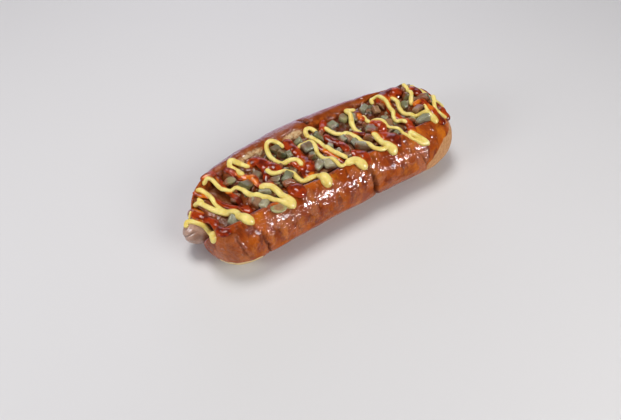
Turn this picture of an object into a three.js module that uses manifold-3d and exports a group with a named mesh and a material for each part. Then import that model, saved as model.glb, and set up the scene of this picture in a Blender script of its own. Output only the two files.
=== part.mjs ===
// Hot dog: a long glazed bun, slit and spread open from above, with one sausage in the slit and a heap
// of diced pickle over it, crossed by ketchup and mustard squeezed on in a zigzag.
//
// Units are millimetres. +X runs along the bun, -Y is its near side and +Z is up. The origin is under the
// middle of the hot dog, on its flat base. Everything is laid out about a line 5.5 mm nearer the far side
// of the sausage, and moved over the origin at the end.
import * as THREE from 'three';
import { mergeVertices } from 'three/addons/utils/BufferGeometryUtils.js';
import Module from 'manifold-3d';

const wasm = await Module();
wasm.setup();

// ---- Driving dimensions ----

const GAP = 0.3; // left between pieces that lie against each other
const SLIVER = 0.05; // after cutting, faces that are flat within this are merged
const WELD = 0.1; // and so are the ends of edges shorter than this
const STEP = 5.5; // length of one facet along a squeezed strand
const MIDDLE_Y = -5.5; // the middle of the whole hot dog, before it is moved over the origin

const BUN = {
  left: -127,
  right: 137,
  near: 55, // half width on the near side
  swell: 5, // extra half width on the near side towards the right end
  far: 49, // half width on the far side
  bowLeft: { length: 128, roundness: 2.2 }, // the far side bows in towards both ends
  bowRight: { length: 152, roundness: 1.8 },
  waist: 21, // height of the widest line
  rise: 33, // from the widest line up to the top of the loaf before it was slit
  sag: 24, // from the widest line down to the round underside, which the table flattens
  roundness: 2.5, // exponent of the superellipse that a cross-section follows
};
const END_LEFT = { length: 45, roundness: 3 };
const END_RIGHT = { length: 60, roundness: 3.5 };

const SLIT = {
  right: 128, // it runs out through the left end and stops here
  centre: -5,
  half: 27, // half width at the lips
  lip: 46, // height at which the lips start to round back
  flare: 7, // how far they round back
  flareRise: 6,
};

const SAUSAGE = { left: -137, right: 112, y: -4, z: 20.8, radius: 13.3, tip: 17 };

const HEAP = {
  left: -116,
  right: 131,
  floor: 23, // above the middle of the sausage, where it has room beside it
  bare: 31, // top of the heap where the sausage's own top shows, near the left end
  nearSide: 37, // and along the near lip there
  top: 46.5,
  farDrop: 3.5, // the heap lies lower along the far lip
  mound: 4.5, // and is piled higher near the right end
  endDrop: 8, // it falls away at the very end
};

// Creases in the crust: where the middle of each one is, how far it reaches up and down, how deep it
// cuts, and how far its lower end leans towards +X.
const CREASES = [
  { x: -107, y: -50, z: 33, reach: 14, depth: 2.0, lean: 8 },
  { x: -86, y: -54, z: 16, reach: 11, depth: 1.6, lean: 2 },
  { x: -33, y: -52, z: 37, reach: 14, depth: 2.0, lean: 1 },
  { x: 26, y: -58, z: 30, reach: 22, depth: 5.0, lean: 5 },
  { x: 79, y: -57, z: 34, reach: 14, depth: 2.0, lean: 5 },
  { x: 8, y: 45, z: 40, reach: 13, depth: 3.0, lean: 0 },
];
const CREASE_WIDTH = 2.6;

// Pieces of pickle that show on top of the heap. They lie tilted a little one way or another, and stand
// out of the heap by about two thirds of their thickness.
const PICKLE = { thickness: 6, lift: 1, tilt: 0.25 };
// Diced pieces: x, y, length, width, and turn in degrees.
const DICE = [
  [-75, -6, 12, 9, 20], [-102, -27, 12, 8, 35], [-81, -23, 8, 6, 60], [-92, -28, 9, 7, 10],
  [-64, -2, 9, 8, 40], [-67, -21, 12, 6, -30], [-78, -26, 9, 7, 15], [-74, -31, 8, 6, 50],
  [-54, -14, 9, 6, -20], [-44, -18, 10, 7, 30], [-31, 16, 9, 8, 15], [-32, 8, 10, 7, 50],
  [-28, 1, 9, 5, 80], [-46, -24, 8, 7, 0], [-9, 1, 11, 8, 10], [-12, -10, 8, 7, 70],
  [-4, -26, 13, 8, -25], [-14, -22, 11, 7, 20], [7, 6, 12, 5, -55], [8, -9, 9, 6, 35],
  [10, -19, 8, 6, -10], [23, -8, 9, 6, 75], [28, -11, 7, 6, 20], [27, 13, 12, 9, 10],
  [30, -17, 9, 9, 0], [33, -26, 14, 7, -35], [18, -21, 9, 8, 50], [13, -26, 8, 6, 5],
  [50, 10, 9, 5, 60], [66, 15, 10, 8, 25], [53, -13, 12, 11, 30], [66, -23, 9, 6, 0],
  [68, -29, 8, 5, 20], [43, -20, 9, 6, -40], [72, -9, 8, 7, 15], [73, 5, 8, 7, 65],
  [82, 7, 8, 6, 10], [70, -15, 8, 6, -30], [98, -7, 7, 5, 80], [98, -31, 13, 7, -15],
  [91, -25, 8, 7, 40], [103, -19, 10, 7, 15], [118, -10, 12, 7, -35], [122, -17, 8, 6, 60],
  [112, 10, 9, 6, 20], [108, 1, 8, 7, 70], [-11, 19, 9, 5, 5], [-88, -8, 8, 7, 30],
];
// Round slices: x, y, diameter and thickness.
const DISCS = [
  [-85, 8, 10, 6], [42, 15, 10, 6], [-68, -40, 14, 3],
];

// A squeezed strand is a little flatter than it is wide, and settles into what it lies on.
const STRAND = { sides: 6, flatness: 0.85, lift: 0.3 };
// Mustard and ketchup: each strand has its width, the width of the blob it ends in, and its route in
// plan, from turning point to turning point.
const MUSTARD = [
  { width: 4.5, blob: 8, route: [[-110, 19], [-107, 18], [-105, 13], [-104, 5], [-104, -2], [-103, -9],
    [-101, -15], [-98, -20], [-96, -24], [-96, -30], [-95, -36], [-92, -41]] },
  { width: 4.5, blob: 5, route: [[-117, 12], [-114, 7], [-111, 0], [-109, -5], [-106, -10], [-103, -15],
    [-100, -19]] },
  { width: 4, blob: 7.5, route: [[-103, 19], [-99, 20], [-95, 18], [-94, 10], [-93, 4], [-89, -1],
    [-84, -3], [-81, -8], [-80, -13], [-77, -20], [-73, -24], [-68, -29], [-64, -35], [-59, -41], [-55, -45]] },
  { width: 5, blob: 6, route: [[-69, -17], [-65, -17], [-61, -21], [-59, -26], [-58, -33], [-56, -39],
    [-54, -44]] },
  { width: 4.2, blob: 4.2, route: [[-73, 5], [-73, 14], [-76, 21], [-73, 25], [-69, 22], [-66, 18],
    [-63, 12]] },
  { width: 4, blob: 9, route: [[-54, -2], [-52, -7], [-46, -10], [-41, -10], [-38, -14], [-37, -21],
    [-35, -27], [-29, -30], [-22, -30], [-19, -35], [-19, -40], [-20, -44]] },
  { width: 4, blob: 4, route: [[-26, 14], [-27, 21], [-31, 25], [-36, 25], [-39, 21], [-41, 13], [-40, 5],
    [-37, -1], [-30, -5], [-26, -8], [-26, -15]] },
  { width: 3.6, blob: 3, route: [[-16, 6], [-12, 6], [-8, 7], [-4, 6], [-3, 2], [-4, -4], [-6, -10],
    [-5, -17], [-2, -23], [-1, -30], [0, -34], [6, -35]] },
  { width: 4.2, blob: 4.2, route: [[-1, 12], [1, 18], [4, 22], [8, 21], [10, 14]] },
  { width: 4, blob: 4, route: [[1, 12], [2, 6], [3, -2], [4, -9], [6, -17], [8, -24], [10, -30]] },
  { width: 6, blob: 8, route: [[6, -35], [11, -35], [15, -37], [17, -41], [18, -46]] },
  { width: 4.2, blob: 4.2, route: [[18, 12], [20, 7], [22, 1], [26, -3], [30, -4], [32, -9], [34, -15],
    [35, -21], [36, -27], [37, -33], [41, -38], [46, -40]] },
  { width: 4.2, blob: 4.2, route: [[57, 17], [50, 21], [49, 16], [46, 9], [42, 2], [41, -5], [43, -10]] },
  { width: 3.8, blob: 3.8, route: [[59, 7], [57, 1], [57, -5]] },
  { width: 3.2, blob: 6.5, route: [[61, -3], [64, -8], [65, -15], [66, -21], [69, -26], [71, -31],
    [72, -37], [75, -43], [79, -47], [84, -52]] },
  { width: 5.5, blob: 8, route: [[48, -20], [49, -26], [49, -33], [50, -39], [51, -43], [50, -47]] },
  { width: 3.8, blob: 3.8, route: [[77, 15], [80, 20], [86, 20], [87, 14], [87, 8], [85, 0], [84, -6],
    [80, -12], [79, -17], [82, -20], [82, -26]] },
  { width: 5, blob: 6, route: [[76, -37], [80, -42], [84, -48], [87, -53]] },
  { width: 4, blob: 7, route: [[95, 9], [97, 3], [94, -4], [92, -12], [93, -18], [97, -23], [101, -25],
    [104, -29], [107, -34], [108, -40]] },
  { width: 4, blob: 4, route: [[115, 15], [114, 9], [112, 2], [108, -4], [104, -10]] },
  { width: 3.6, blob: 3.6, route: [[121, 10], [127, 5], [129, -1], [129, -7], [126, -15], [121, -22],
    [118, -29], [120, -34], [122, -39]] },
  { width: 3, blob: 3, route: [[111, -19], [109, -25], [107, -31]] },
];
const KETCHUP = [
  { width: 4.5, blob: 4.5, route: [[-113, 19], [-110, 14], [-106, 10], [-103, 5], [-101, -2], [-99, -9],
    [-96, -15], [-92, -21], [-89, -26]] },
  { width: 4.5, blob: 6, route: [[-103, 22], [-97, 23], [-91, 21], [-90, 15], [-91, 8], [-91, 2],
    [-90, -5], [-88, -12], [-87, -19], [-86, -25], [-88, -30]] },
  { width: 4.5, blob: 4.5, route: [[-82, 20], [-78, 16], [-76, 9], [-74, 4], [-70, 0], [-68, -5],
    [-68, -11], [-65, -15], [-61, -16], [-59, -21], [-57, -27]] },
  { width: 7, blob: 7, route: [[-61, 14], [-55, 14], [-52, 9], [-50, 3], [-47, -2], [-44, -7]] },
  { width: 4.5, blob: 4.5, route: [[-55, 8], [-54, 2], [-56, -5], [-60, -11]] },
  { width: 6.5, blob: 6.5, route: [[-19, 20], [-21, 12], [-21, 5], [-21, -2], [-20, -9], [-20, -15],
    [-23, -21], [-25, -26]] },
  { width: 5, blob: 6, route: [[-33, -4], [-29, -6], [-28, -12], [-28, -18], [-28, -25], [-28, -30]] },
  { width: 9, blob: 9, route: [[-47, -29], [-46, -35], [-43, -41]] },
  { width: 5, blob: 5, route: [[24, 22], [19, 17], [15, 11]] },
  { width: 4, blob: 4, route: [[-1, -1], [0, -7], [2, -14], [4, -21], [6, -28], [8, -33]] },
  { width: 5, blob: 5, route: [[12, 4], [13, -3], [16, -10], [17, -17], [15, -24]] },
  { width: 8, blob: 8, route: [[19, -27], [23, -32], [23, -38], [21, -44]] },
  { width: 4.5, blob: 4.5, route: [[57, 15], [55, 8], [54, 1]] },
  { width: 7, blob: 8, route: [[58, -6], [61, -12], [60, -19], [56, -24], [57, -30], [57, -37], [59, -43]] },
  { width: 5, blob: 6, route: [[96, 20], [90, 18], [88, 11], [87, 3], [85, -5], [84, -12], [85, -20],
    [85, -27], [82, -34], [79, -38]] },
  { width: 6, blob: 6, route: [[97, 19], [102, 14], [101, 6]] },
  { width: 7, blob: 7, route: [[118, 9], [119, 2], [118, -5]] },
  { width: 4.5, blob: 4.5, route: [[104, -14], [109, -13], [114, -14], [114, -20], [110, -26]] },
  { width: 5, blob: 6, route: [[128, 6], [132, 0], [132, -9], [131, -17], [128, -25], [124, -32],
    [126, -39]] },
  { width: 6, blob: 7, route: [[115, -24], [113, -31], [113, -37], [115, -43]] },
];
// These two cross the bare end of the sausage.
const ON_SAUSAGE = [
  { width: 4.2, blob: 7, route: [[-133, -3], [-130, 0], [-127, -3], [-124, -7], [-121, -11], [-119, -16],
    [-119, -23], [-121, -29], [-123, -32]] },
  { width: 5, blob: 7, route: [[-121, 7], [-120, -2], [-117, -8], [-115, -13], [-114, -19], [-115, -27],
    [-115, -34], [-110, -37]] },
];

// ---- Solids ----

const { clamp, lerp, degToRad } = THREE.MathUtils;
const ramp = (low, high, value) => THREE.MathUtils.smoothstep(value, low, high);

// A three.js geometry as a manifold solid, with the vertices its faces share merged.
function solid(geometry) {
  const bare = geometry.clone();
  bare.deleteAttribute('normal');
  bare.deleteAttribute('uv');
  const merged = mergeVertices(bare, 1e-4);
  const corners = merged.index.array;
  const triVerts = [];
  for (let i = 0; i < corners.length; i += 3) {
    const [a, b, c] = corners.slice(i, i + 3);
    if (a !== b && b !== c && c !== a) triVerts.push(a, b, c);
  }
  return new wasm.Manifold(new wasm.Mesh({
    numProp: 3,
    vertProperties: new Float32Array(merged.attributes.position.array),
    triVerts: new Uint32Array(triVerts),
  }));
}

// The triangles of a mesh, with the ends of each very short edge merged where the skin stays closed:
// there, the two ends have just two neighbours in common.
function welded({ vertProperties, triVerts }) {
  const corner = (index) => new THREE.Vector3().fromArray(vertProperties, 3 * index);
  const faces = [];
  const facesOf = new Map();
  for (let i = 0; i < triVerts.length; i += 3) {
    const face = [...triVerts.slice(i, i + 3)];
    faces.push(face);
    for (const index of face) facesOf.set(index, [...(facesOf.get(index) ?? []), face]);
  }
  const closeTo = (index) => new Set(facesOf.get(index).flat());
  for (const face of faces) {
    for (let k = 0; k < 3; k += 1) {
      const kept = face[k];
      const gone = face[(k + 1) % 3];
      if (kept === gone || corner(kept).distanceTo(corner(gone)) > WELD) continue;
      const shared = [...closeTo(kept)].filter((index) => closeTo(gone).has(index));
      if (shared.length !== 4) continue;
      for (const other of facesOf.get(gone)) {
        other.splice(0, 3, ...other.map((index) => (index === gone ? kept : index)));
      }
      facesOf.set(kept, [...facesOf.get(kept), ...facesOf.get(gone)]);
    }
  }
  return faces.filter(([a, b, c]) => a !== b && b !== c && c !== a).flat();
}

// The largest single body of a solid, as a three.js geometry.
function geometryOf(manifold) {
  const bodies = manifold.simplify(SLIVER).decompose();
  bodies.sort((a, b) => b.volume() - a.volume());
  const mesh = bodies[0].getMesh();
  const geometry = new THREE.BufferGeometry();
  geometry.setAttribute('position', new THREE.BufferAttribute(new Float32Array(mesh.vertProperties), 3));
  geometry.setIndex(welded(mesh));
  geometry.computeVertexNormals();
  return geometry;
}

function joined(solids) {
  return solids.reduce((whole, next) => whole.add(next));
}

// A closed skin made of rings: place(along, around) gives a point, for along from 0 at one tip to 1 at the
// other, and around in radians, from the side over the top.
function loft(rings, sides, place) {
  const geometry = new THREE.SphereGeometry(1, sides, rings);
  const position = geometry.attributes.position;
  const point = new THREE.Vector3();
  for (let i = 0; i < position.count; i += 1) {
    point.fromBufferAttribute(position, i);
    const along = Math.acos(clamp(-point.y, -1, 1)) / Math.PI;
    const around = Math.atan2(-point.z, point.x);
    const atTip = along < 1e-3 || along > 1 - 1e-3;
    const end = Math.round(along);
    point.fromArray(atTip ? place(end, 0) : place(along, around));
    if (atTip) point.add(new THREE.Vector3(...place(end, Math.PI))).multiplyScalar(0.5);
    position.setXYZ(i, point.x, point.y, point.z);
  }
  return solid(geometry);
}

// How much of the full size is left at a distance from the tip of a rounded end.
function endScale(distance, end) {
  const inward = 1 - clamp(distance / end.length, 0, 1);
  return (1 - inward ** end.roundness) ** (1 / end.roundness);
}

// ---- Heights, for what lies on top ----

const bunScale = (x) => endScale(x - BUN.left, END_LEFT) * endScale(BUN.right - x, END_RIGHT);

function bunHalfWidth(x, near) {
  if (near) return BUN.near + BUN.swell * ramp(-40, 90, x);
  const bow = x < 0 ? BUN.bowLeft : BUN.bowRight;
  return BUN.far * endScale(bow.length - Math.abs(x), bow);
}

function loafTop(x, y) {
  const scale = bunScale(x);
  const reach = Math.abs(y) / (bunHalfWidth(x, y < 0) * scale + 1e-6);
  if (reach >= 1) return 0;
  return BUN.waist + BUN.rise * scale * (1 - reach ** BUN.roundness) ** (1 / BUN.roundness);
}

// Height of the slit's wall at a distance outwards from its foot beside the sausage.
function wallTop(x, y) {
  if (x > SLIT.right) return Infinity;
  const side = Math.sign(y - SAUSAGE.y);
  const foot = SAUSAGE.y + side * SAUSAGE.radius;
  const lip = SLIT.centre + side * SLIT.half;
  const share = (y - foot) / (lip - foot);
  if (share < 0) return 0;
  if (share < 1) return lerp(SAUSAGE.z, SLIT.lip, share);
  const beyond = clamp((Math.abs(y - SLIT.centre) - SLIT.half) / SLIT.flare, 0, 1);
  return beyond < 1 ? SLIT.lip + SLIT.flareRise * beyond : Infinity;
}

function sausageTop(x, y) {
  const tip = Math.min(x - SAUSAGE.left, SAUSAGE.right - x);
  if (tip < 0) return 0;
  const radius = SAUSAGE.radius * endScale(tip, { length: SAUSAGE.tip, roundness: 2 });
  const across = Math.abs(y - SAUSAGE.y);
  return across < radius ? SAUSAGE.z + Math.sqrt(radius ** 2 - across ** 2) : 0;
}

function heapTop(x, y) {
  if (x < HEAP.left || x > HEAP.right || Math.abs(y - SLIT.centre) > SLIT.half) return 0;
  const beside = lerp(HEAP.bare, HEAP.nearSide, ramp(11, 18, SAUSAGE.y - y));
  const full = HEAP.top - HEAP.farDrop * ramp(2, 22, y) + HEAP.mound * ramp(85, 112, x);
  return lerp(beside, full, ramp(-94, -82, x)) - HEAP.endDrop * ramp(120, HEAP.right, x);
}

function ground(x, y) {
  return Math.max(Math.min(loafTop(x, y), wallTop(x, y)), sausageTop(x, y), heapTop(x, y));
}

// ---- Bun ----

// The whole loaf before it was slit, grown outwards by a margin.
function loaf(grow) {
  const middle = (BUN.left + BUN.right) / 2;
  const reach = (BUN.right - BUN.left) / 2;
  const power = 2 / BUN.roundness;
  return loft(38, 28, (along, around) => {
    const share = -Math.cos(Math.PI * along);
    const x = middle + reach * share;
    const scale = bunScale(x);
    const across = Math.cos(around);
    const upward = Math.sin(around);
    const width = bunHalfWidth(x, across < 0) * scale + grow;
    const height = (upward > 0 ? BUN.rise : BUN.sag) * scale + grow;
    const y = Math.sign(across) * Math.abs(across) ** power * width;
    const z = BUN.waist + Math.sign(upward) * Math.abs(upward) ** power * height;
    return [x + grow * share, y, Math.max(z, 0)];
  });
}

// The room that the slit takes out of the loaf, narrowed all round by a margin. It starts well outside the
// left end and reaches well above the top.
function slit(shrink) {
  const beyond = 40;
  const lean = SLIT.centre - SAUSAGE.y;
  const lip = SLIT.half - shrink;
  const flare = lip + SLIT.flare;
  const start = BUN.left - beyond;
  const outline = new THREE.Shape();
  outline.absarc(0, SAUSAGE.z, SAUSAGE.radius + 2 * GAP - shrink, Math.PI, 0, false);
  outline.lineTo(lean + lip, SLIT.lip);
  outline.lineTo(lean + flare, SLIT.lip + SLIT.flareRise);
  outline.lineTo(lean + flare, SLIT.lip + beyond);
  outline.lineTo(lean - flare, SLIT.lip + beyond);
  outline.lineTo(lean - flare, SLIT.lip + SLIT.flareRise);
  outline.lineTo(lean - lip, SLIT.lip);
  const geometry = new THREE.ExtrudeGeometry(outline, {
    depth: SLIT.right - shrink - start,
    bevelEnabled: false,
    curveSegments: 8,
  });
  geometry.rotateX(Math.PI / 2);
  geometry.rotateZ(Math.PI / 2);
  geometry.translate(start, SAUSAGE.y, 0);
  return solid(geometry);
}

function crease({ x, y, z, reach, depth, lean }) {
  const geometry = new THREE.SphereGeometry(1, 10, 8);
  geometry.scale(CREASE_WIDTH / 2, depth * 2, reach);
  geometry.rotateY(Math.atan2(-lean, 2 * reach));
  geometry.translate(x, y, z);
  return solid(geometry);
}

function bread(grow) {
  return loaf(grow).subtract(slit(grow));
}

// ---- Sausage ----

function sausage(grow) {
  const middle = (SAUSAGE.left + SAUSAGE.right) / 2;
  const reach = (SAUSAGE.right - SAUSAGE.left) / 2;
  return loft(22, 16, (along, around) => {
    const share = -Math.cos(Math.PI * along);
    const x = middle + reach * share;
    const tip = Math.min(x - SAUSAGE.left, SAUSAGE.right - x);
    const radius = SAUSAGE.radius * endScale(tip, { length: SAUSAGE.tip, roundness: 2 }) + grow;
    return [x + grow * share, SAUSAGE.y + radius * Math.cos(around), SAUSAGE.z + radius * Math.sin(around)];
  });
}

// ---- Toppings ----

// The body of the heap, which fills the slit round the sausage up to its uneven top.
function heap() {
  const columns = 28;
  const rows = 6;
  const geometry = new THREE.BoxGeometry(HEAP.right - HEAP.left, 2 * SLIT.half, 1, columns, rows, 1);
  geometry.translate((HEAP.left + HEAP.right) / 2, SLIT.centre, 0);
  const position = geometry.attributes.position;
  for (let i = 0; i < position.count; i += 1) {
    const x = position.getX(i);
    const y = position.getY(i);
    const inside = clamp(x, HEAP.left + 0.1, HEAP.right - 0.1);
    const within = clamp(y, SLIT.centre - SLIT.half + 0.1, SLIT.centre + SLIT.half - 0.1);
    position.setZ(i, position.getZ(i) > 0 ? heapTop(inside, within) : HEAP.floor);
  }
  return solid(geometry).intersect(slit(GAP));
}

function rest(geometry, x, y, turn, index) {
  geometry.rotateX(PICKLE.tilt * Math.sin(index * 2.4));
  geometry.rotateY(PICKLE.tilt * Math.cos(index * 1.7));
  geometry.rotateZ(degToRad(turn));
  geometry.translate(x, y, ground(x, y) + PICKLE.lift);
  return solid(geometry);
}

function dice() {
  return DICE.map(([x, y, length, width, turn], index) => (
    rest(new THREE.BoxGeometry(length, width, PICKLE.thickness), x, y, turn, index)
  ));
}

function discs() {
  return DISCS.map(([x, y, diameter, thickness], index) => {
    const geometry = new THREE.CylinderGeometry(diameter / 2, diameter / 2, thickness, 10);
    geometry.rotateX(Math.PI / 2);
    return rest(geometry, x, y, 0, index);
  });
}

// A strand squeezed on along its route: it lies on whatever is under it and ends in a blob.
function strand({ width, blob, route }, grow = 0) {
  const plan = new THREE.CatmullRomCurve3(route.map(([x, y]) => new THREE.Vector3(x, y, 0)));
  const pieces = Math.max(3, Math.round(plan.getLength() / STEP));
  const heights = plan.getSpacedPoints(pieces).map(({ x, y }) => ground(x, y));
  const laid = plan.getSpacedPoints(pieces).map(({ x, y }, i) => {
    const before = heights[Math.max(i - 1, 0)];
    const after = heights[Math.min(i + 1, pieces)];
    const z = Math.max((before + heights[i] + after) / 3, heights[i]) + width * STRAND.lift;
    return new THREE.Vector3(x, y, z);
  });
  const curve = new THREE.CatmullRomCurve3(laid);
  const length = curve.getLength();
  return loft(pieces + 2, STRAND.sides, (turn, around) => {
    const crowded = (1 - Math.cos(Math.PI * turn)) / 2;
    const along = (turn + crowded) / 2;
    const centre = curve.getPointAt(along);
    const ahead = curve.getTangentAt(along);
    const side = new THREE.Vector3(0, 0, 1).cross(ahead).normalize();
    const up = ahead.clone().cross(side);
    const left = (1 - along) * length;
    const radius = lerp(width, blob, ramp(blob * 1.6, blob * 0.5, left)) / 2;
    const rounding = endScale(Math.min(along * length, left), { length: radius, roundness: 2 });
    const reach = radius * rounding + grow;
    centre.addScaledVector(side, reach * Math.cos(around));
    centre.addScaledVector(up, STRAND.flatness * reach * Math.sin(around));
    return centre.toArray();
  });
}

// ---- Assembly ----

const bun = bread(0).subtract(joined(CREASES.map(crease)));
const dressed = joined([sausage(0), ...ON_SAUSAGE.map((each) => strand(each))]).subtract(bread(GAP));
const clearance = joined([sausage(GAP), ...ON_SAUSAGE.map((each) => strand(each, GAP)), bread(GAP)]);
const squeezed = [...MUSTARD, ...KETCHUP].map((each) => strand(each));
const toppings = joined([heap(), ...dice(), ...discs(), ...squeezed]).subtract(clearance);

function piece(name, manifold, color, roughness) {
  const material = new THREE.MeshStandardMaterial({ color, roughness, metalness: 0 });
  const mesh = new THREE.Mesh(geometryOf(manifold).translate(0, -MIDDLE_Y, 0), material);
  mesh.name = name;
  return mesh;
}

const group = new THREE.Group();
group.add(piece('bun', bun, 0xb0602a, 0.35));
group.add(piece('sausage', dressed, 0x8a5a45, 0.4));
group.add(piece('toppings', toppings, 0x7d8262, 0.4));

export default group;
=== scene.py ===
import bpy
import numpy as np
from mathutils import Matrix


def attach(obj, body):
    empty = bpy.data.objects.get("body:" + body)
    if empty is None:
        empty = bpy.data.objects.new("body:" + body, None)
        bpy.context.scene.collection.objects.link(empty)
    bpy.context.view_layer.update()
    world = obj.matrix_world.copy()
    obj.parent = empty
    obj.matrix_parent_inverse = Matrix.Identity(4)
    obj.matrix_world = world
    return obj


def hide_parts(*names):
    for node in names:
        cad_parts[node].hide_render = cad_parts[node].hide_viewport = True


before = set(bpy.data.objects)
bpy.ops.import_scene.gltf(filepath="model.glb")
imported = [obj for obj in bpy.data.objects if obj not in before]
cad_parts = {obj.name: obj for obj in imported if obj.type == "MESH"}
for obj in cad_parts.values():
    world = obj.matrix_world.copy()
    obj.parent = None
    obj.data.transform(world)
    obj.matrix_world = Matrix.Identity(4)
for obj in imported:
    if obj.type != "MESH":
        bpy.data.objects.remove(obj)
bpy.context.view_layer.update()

# A hot dog: a glazed bun slit open from above, with a sausage under a heap of diced pickle, crossed by
# ketchup and mustard. Lengths are in millimetres until a mesh is made. As in the part's source, the hot
# dog is laid out about a line that lies MIDDLE_Y from the middle of its box, and moved at the end.
MM = 0.001
MIDDLE_Y = -5.5

# ---- Sizes, as in the solids ----

BUN_LEFT, BUN_RIGHT = -127, 137
BUN_NEAR, BUN_SWELL, BUN_FAR = 55, 5, 49
BOW_LEFT, BOW_RIGHT = (128, 2.2), (152, 1.8)
WAIST, RISE, SAG, ROUNDNESS = 21, 33, 24, 2.5
END_LEFT, END_RIGHT = (45, 3), (60, 3.5)
SLIT_RIGHT, SLIT_CENTRE, SLIT_HALF, SLIT_LIP = 128, -5, 27, 46
SLIT_FLARE, SLIT_FLARE_RISE = 7, 6
SAUSAGE_LEFT, SAUSAGE_RIGHT, SAUSAGE_Y, SAUSAGE_Z = -137, 112, -4, 20.8
SAUSAGE_RADIUS, SAUSAGE_TIP = 13.3, 17
HEAP_LEFT, HEAP_RIGHT, HEAP_BARE, HEAP_NEAR, HEAP_TOP = -116, 131, 31, 37, 46.5
HEAP_FAR_DROP, HEAP_MOUND, HEAP_END_DROP = 3.5, 4.5, 8

# Creases in the crust: x, y, z, reach, depth, width and lean. The last is a crack in the far rim.
# Each is also painted darker along its groove, as painted shade.
CREASES = [
    (-107, -48, 34, 14, 2.0, 0.8, 8), (-87, -54, 24, 18, 3.4, 0.9, 5), (-34, -50, 37, 14, 1.5, 0.6, 3),
    (26, -56, 24, 23, 7.0, 1.9, 8), (77, -57, 34, 14, 1.6, 0.9, 15), (8, 28, 50, 18, 7.0, 1.4, 0),
]
# Patches of the bun as middle and half size: glaze that dried dull and pinkish, and crumb that no sauce
# has reached.
DULL = [
    (-66, -46, 40, 17, 8, 12), (-40, -47, 41, 7, 12, 13), (-16, -46, 42, 11, 5, 9), (12, -44, 45, 10, 4, 6),
    (27, -54, 38, 9, 10, 12), (78, -55, 36, 7, 12, 17), (-112, -42, 24, 16, 14, 18), (48, -60, 14, 50, 9, 9),
    (-30, -56, 11, 80, 9, 7),
]
BARE_CRUMB = [(-54, 20, 43, 13, 10, 10), (-10, 19, 43, 12, 9, 9)]
# Bread without glaze: its lower edge from one x to another, and the right end from x on, below a slope.
SEAM = (-122, -92)
PALE_END, PALE_HEIGHT, PALE_SLOPE, PALE_TOP = 84, 24, 0.65, 39

# Diced pieces: x, y, length, width and turn in degrees. Their middles lie PIECE_LIFT over what is below,
# and no lower than PIECE_FLOOR, and they tilt by up to PIECE_TILT radians.
PIECE_THICKNESS, PIECE_LIFT, PIECE_TILT, PIECE_FLOOR = 6, 1, 0.25, 40
DICE = [
    (-75, -6, 12, 9, 20), (-100, -27, 13, 11, 35), (-81, -23, 8, 6, 60), (-92, -28, 9, 7, 10),
    (-64, -2, 9, 8, 40), (-67, -21, 12, 6, -30), (-78, -26, 9, 7, 15), (-74, -31, 8, 6, 50),
    (-54, -14, 9, 6, -20), (-44, -18, 10, 7, 30), (-31, 16, 9, 8, 15), (-32, 8, 10, 7, 50),
    (-28, 1, 9, 5, 80), (-46, -24, 8, 7, 0), (-9, 1, 11, 8, 10), (-12, -10, 8, 7, 70),
    (-4, -26, 13, 8, -25), (-14, -22, 11, 7, 20), (7, 6, 12, 5, -55), (8, -9, 9, 6, 35),
    (10, -19, 8, 6, -10), (23, -8, 9, 6, 75), (28, -11, 7, 6, 20), (27, 13, 12, 9, 10),
    (30, -17, 9, 9, 0), (33, -26, 14, 7, -35), (18, -21, 9, 8, 50), (13, -26, 8, 6, 5),
    (50, 10, 9, 5, 60), (66, 15, 10, 8, 25), (53, -13, 12, 11, 30), (66, -23, 9, 6, 0),
    (68, -29, 8, 5, 20), (43, -20, 9, 6, -40), (72, -9, 8, 7, 15), (73, 5, 8, 7, 65),
    (82, 7, 8, 6, 10), (70, -15, 8, 6, -30), (98, -7, 7, 5, 80), (98, -31, 13, 7, -15),
    (91, -25, 8, 7, 40), (103, -19, 10, 7, 15), (118, -10, 12, 7, -35), (122, -17, 8, 6, 60),
    (112, 10, 9, 6, 20), (108, 1, 8, 7, 70), (-12, 12, 9, 5, 5), (-88, -8, 8, 7, 30),
]
# Slices: x, y, diameter and thickness. What is below shows through a thin one.
SLICES = [(-85, 8, 10, 6), (42, 15, 10, 6), (-67, -41, 12, 2)]
THIN_SLICE = 3
# How often a small bump of the heap is drawn, and a loose bit.
BUMPS, BITS = 520, 150

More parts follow.
